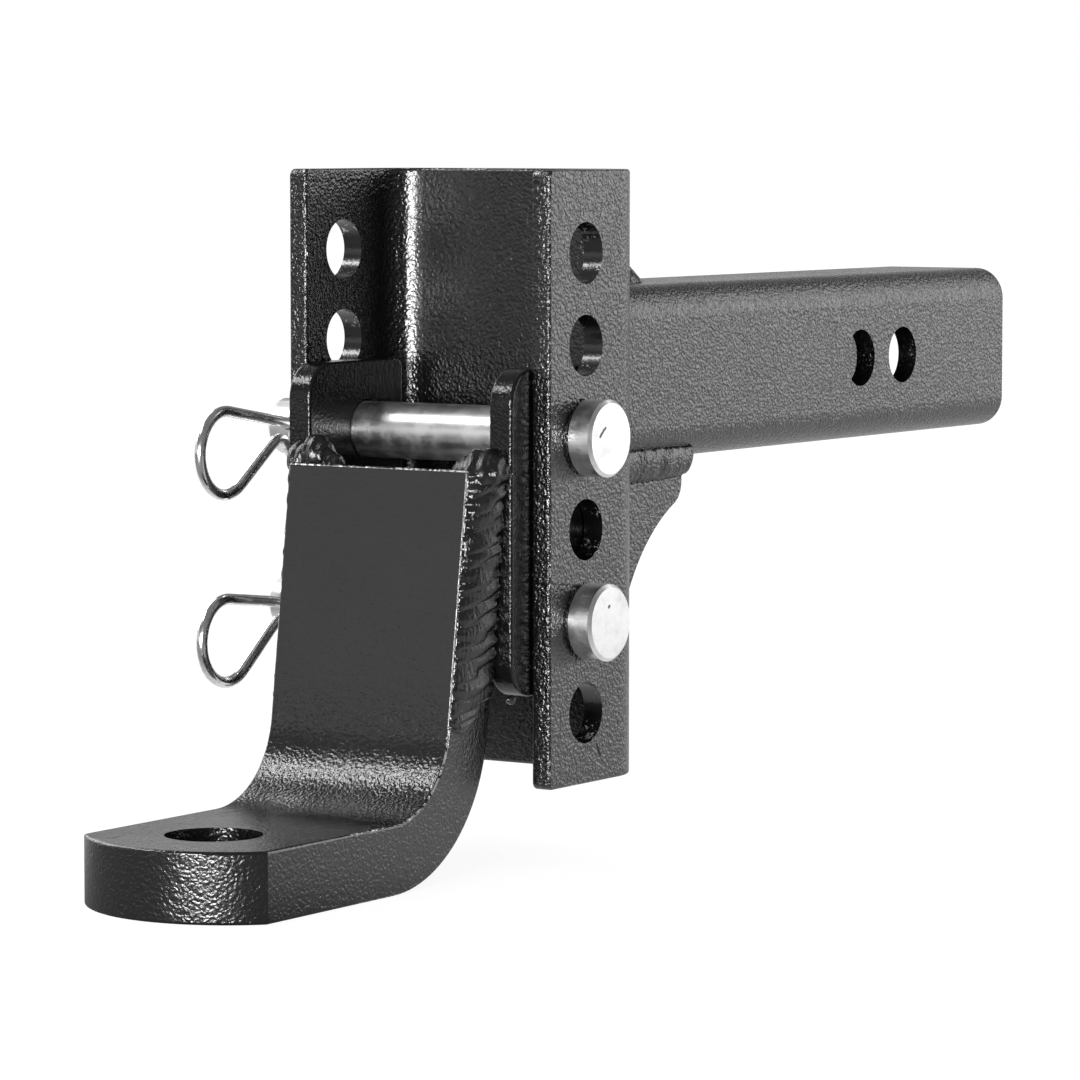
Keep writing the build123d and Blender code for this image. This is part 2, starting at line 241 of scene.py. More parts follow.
def new_group(name, inputs, outputs):
    """An empty shader group with its named sockets; gives the tree, its input node and its output node."""
    tree = bpy.data.node_groups.new(name, "ShaderNodeTree")
    for socket, kind, default in inputs:
        made = tree.interface.new_socket(name=socket, in_out="INPUT", socket_type=kind)
        made.default_value = default
    for socket, kind in outputs:
        tree.interface.new_socket(name=socket, in_out="OUTPUT", socket_type=kind)
    return tree, tree.nodes.new("NodeGroupInput"), tree.nodes.new("NodeGroupOutput")


def wrinkle_group():
    """Fine wrinkles of a powder coat.

    A noise dragged about by a broader one, which turns its lumps into short worms, with a little
    finer noise on top. Tone is a broad cloud for the coat's colour and gloss.
    """
    tree, given, out = new_group("Coat Wrinkles", [
        ("Grain", "NodeSocketFloat", 0.0009), ("Depth", "NodeSocketFloat", 0.0002)],
        [("Height", "NodeSocketFloat"), ("Tone", "NodeSocketFloat")])
    place = add(tree, "ShaderNodeTexCoord").outputs["Object"]
    per_metre = sums(tree, "DIVIDE", 1.0, given.outputs["Grain"])
    drag = noise(tree, place, sums(tree, "MULTIPLY", per_metre, 0.42), 1.0, output="Color")
    bent = moved(tree, place, drag, sums(tree, "MULTIPLY", given.outputs["Grain"], 1.5))
    lumps = noise(tree, bent, per_metre, 0.8, 0.4)
    fine = noise(tree, bent, sums(tree, "MULTIPLY", per_metre, 2.6), 2.0, 0.6)
    height = sums(tree, "ADD", lumps, sums(tree, "MULTIPLY", fine, 0.12))
    tree.links.new(sums(tree, "MULTIPLY", height, given.outputs["Depth"]), out.inputs["Height"])
    tree.links.new(step(tree, noise(tree, place, 38.0, 3.0), 0.3, 0.7), out.inputs["Tone"])
    return tree


def edge_group():
    """A stretch of rounded edges: where a normal leans between two faces, inside a box.

    A face's normal has one part of 1 and the rest 0, so n^2 (1 - n^2) is above 0 only where it
    turns. Axis says which parts count, and Middle and Half give the box.
    """
    tree, given, out = new_group("Edge Stretch", [
        ("Axis", "NodeSocketVector", (1.0, 0.0, 0.0)), ("Middle", "NodeSocketVector", (0.0, 0.0, 0.0)),
        ("Half", "NodeSocketVector", (1.0, 1.0, 1.0))],
        [("Edge", "NodeSocketFloat")])
    place = add(tree, "ShaderNodeTexCoord").outputs
    square = vectors(tree, "MULTIPLY", place["Normal"], place["Normal"])
    turning = vectors(tree, "MULTIPLY", square, vectors(tree, "SUBTRACT", (1.0, 1.0, 1.0), square))
    counted = parts(tree, vectors(tree, "MULTIPLY", turning, given.outputs["Axis"]))
    most = most_of(tree, [counted["X"], counted["Y"], counted["Z"]])
    inside = in_box(tree, place["Object"], given.outputs["Middle"], given.outputs["Half"])
    tree.links.new(sums(tree, "MULTIPLY", step(tree, most, 0.09, 0.21), inside), out.inputs["Edge"])
    return tree


def chip_group():
    """Specks and runs of bare metal, more of them as Amount goes from 0 to 1."""
    tree, given, out = new_group("Chip Specks", [("Amount", "NodeSocketFloat", 0.5)],
                                 [("Chip", "NodeSocketFloat")])
    place = add(tree, "ShaderNodeTexCoord").outputs["Object"]
    specks = noise(tree, place, 900.0, 3.0, 0.6)
    runs = noise(tree, place, 130.0)
    level = sums(tree, "ADD", specks, sums(tree, "MULTIPLY", runs, 0.6))
    cut = sums(tree, "SUBTRACT", 1.1, sums(tree, "MULTIPLY", given.outputs["Amount"], 0.6))
    tree.links.new(step(tree, sums(tree, "SUBTRACT", level, cut), -0.03, 0.05), out.inputs["Chip"])
    return tree


def mark_group():
    """A short mark from one point to another: how far a wavering point is from that line."""
    tree, given, out = new_group("Short Mark", [
        ("From", "NodeSocketVector", (0.0, 0.0, 0.0)), ("To", "NodeSocketVector", (0.0, 0.0, 0.0)),
        ("Width", "NodeSocketFloat", 0.0004), ("Waver", "NodeSocketFloat", 0.0)],
        [("Mask", "NodeSocketFloat")])
    place = add(tree, "ShaderNodeTexCoord").outputs["Object"]
    point = moved(tree, place, noise(tree, place, 420.0, output="Color"), given.outputs["Waver"])
    run = vectors(tree, "SUBTRACT", given.outputs["To"], given.outputs["From"])
    off = vectors(tree, "SUBTRACT", point, given.outputs["From"])
    along, whole = (vectors(tree, "DOT_PRODUCT", way, run, "Value") for way in (off, run))
    share = sums(tree, "DIVIDE", along, sums(tree, "MAXIMUM", whole, 1e-9), clamp=True)
    gap = vectors(tree, "DISTANCE", off, scaled(tree, run, share), "Value")
    tree.links.new(step(tree, sums(tree, "DIVIDE", gap, given.outputs["Width"]), 0.35, 0.65, 1.0, 0.0),
                   out.inputs["Mask"])
    return tree


GROUPS = {"Coat Wrinkles": wrinkle_group, "Edge Stretch": edge_group, "Chip Specks": chip_group,
          "Short Mark": mark_group}


def use_group(tree, name, inputs):
    """A group's outputs, placed with its own values. The group is built the first time it is used."""
    group = bpy.data.node_groups.get(name) or GROUPS[name]()
    return add(tree, "ShaderNodeGroup", inputs, node_tree=group).outputs


def new_material(name):
    """A material, its tree and its shader."""
    material = bpy.data.materials.new(name)
    material.use_nodes = True
    tree = material.node_tree
    return material, tree, tree.nodes["Principled BSDF"]


def dress(piece, material):
    """Give a piece one material."""
    piece.data.materials.clear()
    piece.data.materials.append(material)


# Materials

def streaks(tree, place, middle, half):
    """Long streaks across the part inside an ellipsoid, as a height in metres."""
    drawn = add(tree, "ShaderNodeMapping", {"Vector": place, "Scale": (170.0, 700.0, 700.0)})
    streak = noise(tree, drawn.outputs["Vector"], 1.0, 3.0, 0.6)
    share = vectors(tree, "DIVIDE", vectors(tree, "SUBTRACT", place, middle), half)
    here = step(tree, vectors(tree, "LENGTH", share, output="Value"), 0.5, 1.0, 1.0, 0.0)
    return sums(tree, "MULTIPLY", sums(tree, "MULTIPLY", streak, here), 0.00011)


def coat_material(name, edges=(), chips=0.5, marks=(), grain=1.0, stretched=None, thin=None, calm=None,
                  holed=None, ior=1.75):
    """Wrinkled black powder coat, bare in specks along its edges, with a few dark pits and cracks.

    edges holds the stretches of edge and chips says how bare they are. marks holds the pits and
    cracks. grain scales the wrinkles' depth. The rest are boxes, each a middle and a half size:
    stretched, where the coat was drawn out into long streaks when the bar was bent; thin, where
    the spray reached less, so that the wrinkles are flatter; calm, towards which they fade
    softly; and holed, round the pin holes, whose walls are smooth.
    """
    coat = settings("coat")
    material, tree, shader = new_material(name)
    place = add(tree, "ShaderNodeTexCoord").outputs["Object"]
    depth = coat.grain_depth * grain
    if calm:
        still = in_box(tree, place, *calm, 0.02)
        depth = sums(tree, "MULTIPLY", depth, step(tree, still, 0.0, 1.0, 1.0, 0.4))
    if thin:
        depth = faded(tree, depth, in_box(tree, place, *thin, 0.002), 0.6)
    if holed:
        sideways = parts(tree, add(tree, "ShaderNodeTexCoord").outputs["Normal"])["X"]
        turned = step(tree, sums(tree, "ABSOLUTE", sideways), 0.3, 0.7, 1.0, 0.0)
        depth = faded(tree, depth, sums(tree, "MULTIPLY", turned, in_box(tree, place, *holed)), 0.9)
    wrinkles = use_group(tree, "Coat Wrinkles", {"Grain": coat.grain, "Depth": depth})
    colour = blend(tree, wrinkles["Tone"], rgba(tuple(0.7 * c for c in coat.colour)), rgba(coat.colour))
    roughness = sums(tree, "SUBTRACT", coat.roughness + 0.02, sums(tree, "MULTIPLY", wrinkles["Tone"], 0.04))
    height = wrinkles["Height"]
    if stretched:
        height = sums(tree, "ADD", height, streaks(tree, place, *stretched))
    if marks:
        pit = most_of(tree, [use_group(tree, "Short Mark", mark)["Mask"] for mark in marks])
        colour = blend(tree, pit, colour, (0.001, 0.001, 0.001, 1.0))
        roughness = sums(tree, "MAXIMUM", roughness, sums(tree, "MULTIPLY", pit, 0.95))
        height = sums(tree, "SUBTRACT", height, sums(tree, "MULTIPLY", pit, 0.0004))
    if edges:
        edge = most_of(tree, [use_group(tree, "Edge Stretch", part)["Edge"] for part in edges])
        bare = sums(tree, "MULTIPLY", use_group(tree, "Chip Specks", {"Amount": chips})["Chip"], edge)
        colour = blend(tree, bare, colour, rgba(coat.worn_colour))
        height = sums(tree, "SUBTRACT", height, sums(tree, "MULTIPLY", bare, 0.0001))
        tree.links.new(sums(tree, "MULTIPLY", bare, 0.7), shader.inputs["Metallic"])
    shader.inputs["IOR"].default_value = ior
    tree.links.new(colour, shader.inputs["Base Color"])
    tree.links.new(roughness, shader.inputs["Roughness"])
    bump(tree, shader, height)
    return material


def weld_material(name):
    """The coat run thick and glossy over a bead, with scale and pocks."""
    weld = settings("weld")
    material, tree, shader = new_material(name)
    place = add(tree, "ShaderNodeTexCoord").outputs["Object"]
    along = add(tree, "ShaderNodeMapping", {"Vector": place, "Scale": (1100.0, 1100.0, 260.0)})
    scale = noise(tree, along.outputs["Vector"], 1.0, 4.0, 0.6)
    shade = step(tree, noise(tree, place, 190.0), 0.35, 0.65)
    colour = blend(tree, shade, (0.004, 0.004, 0.004, 1.0), (0.009, 0.009, 0.009, 1.0))
    roughness = sums(tree, "ADD", weld.roughness, sums(tree, "MULTIPLY", shade, 0.12))
    tree.links.new(colour, shader.inputs["Base Color"])
    tree.links.new(roughness, shader.inputs["Roughness"])
    shader.inputs["IOR"].default_value = 1.7
    bump(tree, shader, sums(tree, "MULTIPLY", scale, 0.00030))
    return material


def pin_material(name, marks):
    """Bright zinc plate with a cloudy bloom, fine turning marks and a few dark specks."""
    plate = settings("plate")
    material, tree, shader = new_material(name)
    place = add(tree, "ShaderNodeTexCoord").outputs["Object"]
    cloud = noise(tree, place, 240.0, 4.0, 0.6)
    clouds = step(tree, cloud, 0.35, 0.7)
    speck = add(tree, "ShaderNodeTexVoronoi", {"Vector": place, "Scale": 420.0}).outputs["Distance"]
    spots = sums(tree, "MULTIPLY", step(tree, speck, 0.05, 0.12, 1.0, 0.0), step(tree, cloud, 0.56, 0.6))
    dark = most_of(tree, [spots] + [use_group(tree, "Short Mark", mark)["Mask"] for mark in marks])
    base = blend(tree, clouds, rgba(plate.pin_colour), rgba(tuple(0.82 * c for c in plate.pin_colour)))
    roughness = sums(tree, "ADD", 0.30, sums(tree, "MULTIPLY", clouds, 0.14))
    tree.links.new(blend(tree, dark, base, (0.10, 0.10, 0.10, 1.0)), shader.inputs["Base Color"])
    tree.links.new(roughness, shader.inputs["Roughness"])
    shader.inputs["Metallic"].default_value = 1.0
    turned = add(tree, "ShaderNodeMapping", {"Vector": place, "Scale": (2600.0, 60.0, 60.0)})
    rings = noise(tree, turned.outputs["Vector"], 1.0)
    bump(tree, shader, sums(tree, "ADD", sums(tree, "MULTIPLY", rings, 0.000012),
                            sums(tree, "MULTIPLY", cloud, 0.00003)))
    return material


def wire_material(name):
    """Bright drawn spring wire with fine scuffs."""
    plate = settings("plate")
    material, tree, shader = new_material(name)
    place = add(tree, "ShaderNodeTexCoord").outputs["Object"]
    scuff = noise(tree, place, 700.0, 3.0, 0.7)
    worn = step(tree, scuff, 0.45, 0.7)
    colour = blend(tree, worn, rgba(plate.wire_colour), rgba(tuple(0.7 * c for c in plate.wire_colour)))
    roughness = sums(tree, "ADD", 0.15, sums(tree, "MULTIPLY", worn, 0.15))
    tree.links.new(colour, shader.inputs["Base Color"])
    tree.links.new(roughness, shader.inputs["Roughness"])
    shader.inputs["Metallic"].default_value = 1.0
    bump(tree, shader, sums(tree, "MULTIPLY", scuff, 0.00002))
    return material


# Surfaces worked out on grids

def shell(name, rings, start, end):
    """A closed shell from rings of points (n, m, 3) and the two points that close its ends."""
    n, m, _ = rings.shape
    points = np.concatenate([rings.reshape(-1, 3), [start], [end]])
    row, column = np.meshgrid(np.arange(n - 1), np.arange(m), indexing="ij")
    after = (column + 1) % m
    quads = np.stack([row * m + column, row * m + after, (row + 1) * m + after, (row + 1) * m + column], -1)
    quads = quads.reshape(-1, 4)
    around = np.arange(m)
    first = np.stack([np.full(m, n * m), (around + 1) % m, around], -1)
    last = np.stack([np.full(m, n * m + 1), (n - 1) * m + around, (n - 1) * m + (around + 1) % m], -1)
    # the signed volume tells which way the faces look
    corners = points[np.concatenate([quads[:, :3], quads[:, [0, 2, 3]], first, last])]
    volume = np.einsum("ij,ij->i", corners[:, 0], np.cross(corners[:, 1], corners[:, 2])).sum()
    if volume < 0:
        quads, first, last = quads[:, ::-1], first[:, ::-1], last[:, ::-1]
    mesh = bpy.data.meshes.new(name)
    mesh.from_pydata(points.tolist(), [], quads.tolist() + first.tolist() + last.tolist())
    mesh.polygons.foreach_set("use_smooth", np.ones(len(mesh.polygons), bool))
    mesh.update()
    piece = bpy.data.objects.new(name, mesh)
    bpy.context.scene.collection.objects.link(piece)
    return piece


def wander(s, seed, wave):
    """A smooth random line between about -1 and 1: five sines of random length and start."""
    rng = np.random.default_rng(seed)
    lengths = wave * rng.uniform(0.5, 2.0, 5)
    starts = rng.uniform(0, 2 * np.pi, 5)
    return np.sin(2 * np.pi * s[:, None] / lengths + starts).mean(axis=1) * 1.4


def resample(rows, count):
    """A table of stations at an even distance along its first three columns' line, smoothed."""
    rows = np.asarray(rows, float)
    steps = np.linalg.norm(np.diff(rows[:, :3], axis=0), axis=1)
    s = np.concatenate([[0.0], np.cumsum(steps)])
    even = np.linspace(0, s[-1], count)
    out = np.stack([np.interp(even, s, rows[:, k]) for k in range(rows.shape[1])], -1)
    kernel = np.hanning(max(5, count // 18) | 1)
    kernel /= kernel.sum()
    half = len(kernel) // 2
    padded = np.concatenate([2 * out[:1] - out[half:0:-1], out, 2 * out[-1:] - out[-2:-half - 2:-1]])
    return even, np.stack([np.convolve(padded[:, k], kernel, "valid") for k in range(out.shape[1])], -1)


def bead(name, stations, seed, count=260, across=30, ripple=1.0, end_start=4.0, end_stop=4.0, slant=2.0,
         lead=0.0):
    """A weld bead lying in the corner of two parts.

    Each station holds the corner, the toe on one part, the toe on the other and the crown's
    height, all in mm. Across the bead a point goes from toe to toe and is lifted along the
    section's outward normal by crown times 4t(1 - t). Along the bead each ripple is a curved
    lip: a saw tooth of (s + slant t) / pitch that rises slowly and drops fast, and that lead makes
    fainter away from the second toe. Over end_start and end_stop the two ends shrink towards the
    corner by a quarter ellipse.
    """
    weld = settings("weld")
    s, table = resample(stations, count)
    corner, toe_a, toe_b = (table[:, None, k:k + 3] for k in (0, 3, 6))
    crown = table[:, None, 9:10]
    rng = np.random.default_rng(seed)
    pitch = weld.ripple / MM
    t = np.linspace(0, 1, across)[None, :, None]
    side = toe_b - toe_a
    out = (toe_a + toe_b) / 2 - corner
    out = out - side * (out * side).sum(-1, keepdims=True) / (side * side).sum(-1, keepdims=True)
    out = out / np.linalg.norm(out, axis=-1, keepdims=True)
    toe_a = toe_a + side * 0.05 * wander(s, seed + 1, 5.0)[:, None, None]
    toe_b = toe_b - side * 0.08 * wander(s, seed + 2, 5.0)[:, None, None]
    side = toe_b - toe_a
    lift = crown * (4 * t * (1 - t)) ** 0.75 * (1 + 0.22 * wander(s, seed + 3, 9.0)[:, None, None])
    warp = 1.3 * wander(s, seed + 4, 9.0)[:, None] + slant * t[..., 0]
    phase = (s[:, None] + warp) / pitch
    number = np.floor(phase).astype(int)
    number -= number.min()
    share = phase - np.floor(phase)
    strength = rng.uniform(0.45, 1.35, number.max() + 1)[number]
    rise, fall = 0.78, 0.22
    tooth = np.where(share < rise, np.sin(share / rise * np.pi / 2), np.cos((share - rise) / fall * np.pi / 2))
    edge = np.clip(np.sin(np.pi * t[..., 0]) * 2.2, 0, 1) * (1 - lead * (1 - t[..., 0]))
    lip = (tooth - 0.6) * strength * edge * ripple * weld.ripple_depth / MM
    face = toe_a + side * t + out * (lift + lip[..., None])
    back_b = toe_b + (corner - toe_b) * np.linspace(0.25, 1, 4)[None, :, None]
    back_a = corner + (toe_a - corner) * np.linspace(0.25, 0.75, 3)[None, :, None]
    ring = np.concatenate([face, back_b, back_a], axis=1)
    ends = np.minimum(np.clip(s / end_start, 0, 1), np.clip((s[-1] - s) / end_stop, 0, 1))
    ends = np.sqrt(np.clip(1 - (1 - ends) ** 2, 0, 1))[:, None, None]
    ring = corner + (ring - corner) * ends
    return shell(name, ring[1:-1] * MM, corner[0, 0] * MM, corner[-1, 0] * MM)


def cap(name, centre, radii, turn, seed, count=48):
    """A lump of weld: an ellipsoid whose radius wavers with ring-shaped ripples about its own axis."""
    u = np.linspace(0, np.pi, count)[1:-1, None]
    v = np.linspace(0, 2 * np.pi, 2 * count, endpoint=False)[None, :]
    rng = np.random.default_rng(seed)
    start = rng.uniform(0, 6.28, 4)
    waver = 1 + 0.05 * np.sin(3 * v + start[0]) * np.sin(u)
    waver = waver + 0.045 * np.sin(11 * u + start[1] + 0.6 * np.sin(v))
    x = np.cos(u) * np.ones_like(v)
    y, z = np.sin(u) * np.cos(v), np.sin(u) * np.sin(v)
    points = np.stack([x, y, z], -1) * waver[..., None] * np.asarray(radii)
    poles = np.array([[radii[0], 0, 0], [-radii[0], 0, 0]], float)
    ax, az = turn
    about_x = np.array([[1, 0, 0], [0, math.cos(ax), -math.sin(ax)], [0, math.sin(ax), math.cos(ax)]])
    about_z = np.array([[math.cos(az), -math.sin(az), 0], [math.sin(az), math.cos(az), 0], [0, 0, 1]])
    place = (about_z @ about_x).T
    points, poles = points @ place + centre, poles @ place + centre
    return shell(name, points * MM, poles[0] * MM, poles[1] * MM)


def join(pieces, name):
    """Several closed lumps made one skin: joined, then remeshed on a fine grid of cubes."""
    for piece in bpy.context.selected_objects:
        piece.select_set(False)
    for piece in pieces:
        piece.select_set(True)
    bpy.context.view_layer.objects.active = pieces[0]
    bpy.ops.object.join()
    whole = pieces[0]
    whole.name = name
    whole.data.name = name
    skin = whole.modifiers.new("One skin", "REMESH")
    skin.mode = "VOXEL"
    skin.voxel_size = SKIN_GRID
    skin.use_smooth_shade = True
    bpy.ops.object.modifier_apply(modifier=skin.name)
    return whole


def finish_bead(piece, node, material):
    """Put a bead in the place of its smooth weld solid."""
    dress(piece, material)
    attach(piece, BODY)
    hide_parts(node)


# Operators

class BALLMOUNT_OT_coat_steel(bpy.types.Operator):
    """Put the wrinkled black coat on shank, channel, gussets, side plates and platform"""

    bl_idname = "ballmount.coat_steel"
    bl_label = "Coat the Steel"

    def execute(self, context):
        def edge(axis, middle=(0.0, 0.0, 0.0), half=(1.0, 1.0, 1.0)):
            """A stretch of edge: the axis its normals turn from, and a box, in metres."""
            return {"Axis": axis, "Middle": middle, "Half": half}

        def mark(start, stop, width, waver=0.0):
            """A pit or a crack, in millimetres."""
            return {"From": tuple(MM * v for v in start), "To": tuple(MM * v for v in stop),
                    "Width": MM * width, "Waver": MM * waver}

        across, along, up = (1.0, 0.0, 0.0), (0.0, 1.0, 0.0), (0.0, 0.0, 1.0)
        rear_end = edge(along, (0.0, 0.56, 0.0), (1.0, 0.5, 1.0))
        flange_fronts = edge(across, (0.0, -0.30, 0.0), (1.0, 0.074, 1.0))
        platform_sides = edge(across, (0.0, 0.196, 0.0), (1.0, 0.5, 1.0))
        platform_top = edge(up, (0.0, 0.0, 0.4765), (1.0, 1.0, 0.5))
        finishes = {
            "shank_tube": coat_material("tube_coat", [rear_end], 0.35),
            "channel": coat_material(
                "channel_coat", [edge(up), flange_fronts], 0.25,
                [mark((43.8, -206.1, -100.2), (43.8, -204.6, -103.1), 0.9, 0.8)],
                thin=((0.00225, -0.2070, 0.0), (0.03605, 0.0235, 1.0)),
                holed=((0.0, -0.2065, 0.0), (1.0, 0.0185, 1.0))),
            "side_plate": coat_material("side_plate_coat", [edge(across)], 0.15, grain=0.5,
                                        thin=((0.0, -0.2058, 0.0), (1.0, 0.0320, 1.0)), ior=1.5),
            "gusset": coat_material("gusset_coat"),
            "ball_platform": coat_material(
                "platform_coat", [platform_sides, platform_top], 0.52,
                [mark((-23.2, -290.3, -114.5), (-21.5, -284.4, -114.5), 0.5, 1.6),
                 mark((-26.4, -345.7, -114.5), (-18.4, -344.9, -114.5), 0.4, 0.8),
                 mark((-18.4, -344.9, -114.5), (-18.8, -338.4, -114.5), 0.4, 0.8),
                 mark((30.0, -332.0, -131.6), (30.0, -330.4, -131.2), 0.4, 0.3)],
                grain=0.4, calm=((0.0, -0.25, 0.0), (1.0, 1.0, 0.075)),
                stretched=((0.002, -0.272, -0.098), (0.034, 0.022, 0.017))),
        }
        for node in COATED_NODES:
            kind = next((key for key in ("side_plate", "gusset") if node.startswith(key)), node)
            dress(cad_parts[node], finishes[kind])
        return {"FINISHED"}


# Lumps where each platform bead begins, on the platform's top corners: the middle across, ahead
# of the side plate's front and above the platform's top, three half sizes and a turn, in mm and degrees
LUMPS = {
    "left": [(-24.6, -3.0, 0.8, (5.4, 4.6, 7.0), 10), (-30.0, -2.2, 0.6, (5.0, 5.4, 5.0), 20),
             (-20.6, -3.4, -0.6, (4.4, 3.6, 3.6), 0)],
    "right": [(30.2, -2.6, -0.6, (7.2, 6.2, 5.9), 16), (26.0, -3.2, -1.0, (5.0, 4.6, 4.0), 6)],
}


class BALLMOUNT_OT_platform_welds(bpy.types.Operator):
    """Lay the two beads that hold the ball platform between the side plates"""

    bl_idname = "ballmount.platform_welds"
    bl_label = "Platform Welds"

    def execute(self, context):
        material = weld_material("glossy_weld")
        low, high = (np.array(v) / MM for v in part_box("side_plate_right"))
        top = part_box("ball_platform")[1].z / MM
        half = low[0]
        plate_front = low[1]
        foot = low[2]
        lean = math.tan(math.radians(7.5))
        front_top = plate_front - 10.0
        sunk = 0.2

        def front(z):
            """Where the leaning upright's front face is at a height."""
            return front_top - (top - z) * lean

        for name, side in SIDES.items():
            low_bead = side < 0

            def row(z, corner_y, toe_x, toe_y, crown):
                """One station: the corner, the toe on the platform, the toe on the plate, the crown."""
                if low_bead:
                    toe_x, crown = toe_x - 1.0, 0.45 * crown
                corner = (side * (half - sunk), corner_y + 0.3, z)
                toe_a = (side * (half - sunk), front(z) + 0.25, z)
                toe_b = (side * toe_x, toe_y, z)
                return corner + toe_a + toe_b + (crown,)

            # down the plate's front edge, then back under its foot
            stations = [
                row(top + 1.5, plate_front, 35.6, plate_front + 0.3, 2.4),
                row(top - 3, plate_front, 35.4, plate_front + 0.3, 2.2),
                row(top - 25, plate_front, 33.9, plate_front + 0.3, 2.0),
                row(foot + 16, plate_front, 32.3, plate_front + 0.3, 1.9),
                row(foot + 7, plate_front, 31.6, plate_front + 0.5, 1.8),
                row(foot + 1, plate_front - 0.6, 31.2, plate_front - 0.4, 1.7),
                row(foot - 4, plate_front - 5, 30.8, plate_front - 5.3, 1.5),
                row(foot - 8.5, plate_front - 13, 30.4, plate_front - 13.5, 0.9),
            ]
            main = bead("platform_bead_" + name, stations, 23 if low_bead else 11, end_start=3.0, end_stop=5.0,
                        ripple=0.4 if low_bead else 1.0, slant=6.0, lead=0.55)
            lumps = [cap("platform_bead_cap_" + name, (x, plate_front + y, top + z), radii,
                         (math.radians(25), math.radians(side * turn)), 5 + k)
                     for k, (x, y, z, radii, turn) in enumerate(LUMPS[name])]
            whole = join([main] + lumps, "platform_weld_bead_" + name)
            finish_bead(whole, "platform_weld_" + name, material)
        # a drop of thick coat that set on the right side plate's lower front corner
        drip_place = (high[0] - 1.5, plate_front + 1.9, foot - 0.2)
        drip = cap("paint_drip", drip_place, (1.4, 1.7, 1.3), (0.0, 0.0), 9, 24)
        dress(drip, material)
        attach(drip, BODY)
        return {"FINISHED"}


class BALLMOUNT_OT_frame_welds(bpy.types.Operator):
    """Lay the beads round the shank, along the gussets and down the cheeks"""

    bl_idname = "ballmount.frame_welds"
    bl_label = "Frame Welds"

    def execute(self, context):
        material = coat_material("coated_weld")
        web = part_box("channel")[1].y / MM
        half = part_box("shank_tube")[1].x / MM
        cheek_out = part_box("gusset_cheek_right")[1].x / MM
        cheek_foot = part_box("gusset_cheek_right")[0].z / MM
        cheek_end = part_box("gusset_cheek_right")[1].y / MM
        rib_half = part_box("gusset_rib")[1].x / MM
        rib_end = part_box("gusset_rib")[1].y / MM
        radius = 9.5
        leg = 5.0

        def around(angle_deg):
            """Point of the shank's outline and the way out of it, by the angle about its axis."""
            a = math.radians(angle_deg)
            flat = half - radius
            x = max(-flat, min(flat, 2 * flat * math.cos(a)))
            z = max(-flat, min(flat, 2 * flat * math.sin(a)))
            dx, dz = math.cos(a), math.sin(a)
            if abs(x) < flat:
                dx, dz = 0.0, math.copysign(1.0, dz)
            elif abs(z) < flat:
                dx, dz = math.copysign(1.0, dx), 0.0
            else:
                ex, ez = 2 * flat * math.cos(a) - x, 2 * flat * math.sin(a) - z
                size = math.hypot(ex, ez) or 1.0
                dx, dz = ex / size, ez / size
            return x + radius * dx, z + radius * dz, dx, dz

        def shank_row(angle):
            x, z, dx, dz = around(angle)
            corner = (x - 0.2 * dx, web - 0.2, z - 0.2 * dz)
            toe_a = (x - 0.1 * dx, web + leg, z - 0.1 * dz)
            toe_b = (x + leg * dx, web - 0.1, z + leg * dz)
            return corner + toe_a + toe_b + (0.7,)

        gap = math.degrees(math.asin(min(1.0, rib_half / (2 * (half - radius)))))
        spans = {"shank_weld_right": (-48.0, 90 - gap), "shank_weld_left": (90 + gap, 228.0),
                 "shank_weld_under": (-116.0, -64.0)}
        for k, (node, (first, last)) in enumerate(spans.items()):
            rows = [shank_row(a) for a in np.linspace(first, last, 90)]
            piece = bead(node + "_bead", rows, 31 + k, count=240, across=16, ripple=0.8,
                         end_start=1.5, end_stop=1.5)
            finish_bead(piece, node, material)
        start = web + leg - 1.5
        for name, side in SIDES.items():
            def cheek_row(y, top_z, low_z, crown=1.5):
                corner = (side * (cheek_out - 3.0), y, -half + 1.5)
                toe_a = (side * (cheek_out + 1.3), y, top_z)
                toe_b = (side * (cheek_out - 0.1), y, low_z)
                return corner + toe_a + toe_b + (crown,)

            rows = [cheek_row(start, -21.8, -31.4), cheek_row(web + 35, -21.9, -31.6, 1.7),
                    cheek_row(cheek_end - 4, -22.0, -31.2, 1.7), cheek_row(cheek_end + 2.5, -22.2, -30.2, 1.5),
                    cheek_row(cheek_end + 6.8, -22.6, -26.0, 0.8)]
            piece = bead("gusset_cheek_bead_" + name, rows, 41, across=22, ripple=0.35,
                         end_start=1.5, end_stop=3.0)
            finish_bead(piece, "gusset_cheek_weld_" + name, material)

            def foot_row(z):
                corner = (side * (cheek_out - 0.2), web - 0.2, z)
                toe_a = (side * (cheek_out - 0.1), web + 5.0, z)
                toe_b = (side * (cheek_out + 5.0), web - 0.1, z)
                return corner + toe_a + toe_b + (0.6,)

            rows = [foot_row(z) for z in np.linspace(cheek_foot + 0.2, -half - leg + 1.0, 12)]
            piece = bead("gusset_foot_bead_" + name, rows, 51, across=16, ripple=0.9)
            finish_bead(piece, "gusset_foot_weld_" + name, material)

            def rib_row(y):
                corner = (side * (rib_half - 0.2), y, half - 0.2)
                toe_a = (side * (rib_half - 0.1), y, half + 3.6)
                toe_b = (side * (rib_half + 3.6), y, half - 0.1)
                return corner + toe_a + toe_b + (0.5,)

            rows = [rib_row(y) for y in np.linspace(start, rib_end - 3.7, 12)]
            piece = bead("gusset_rib_bead_" + name, rows, 61, across=14, ripple=0.7)
            finish_bead(piece, "gusset_rib_weld_" + name, material)
        return {"FINISHED"}


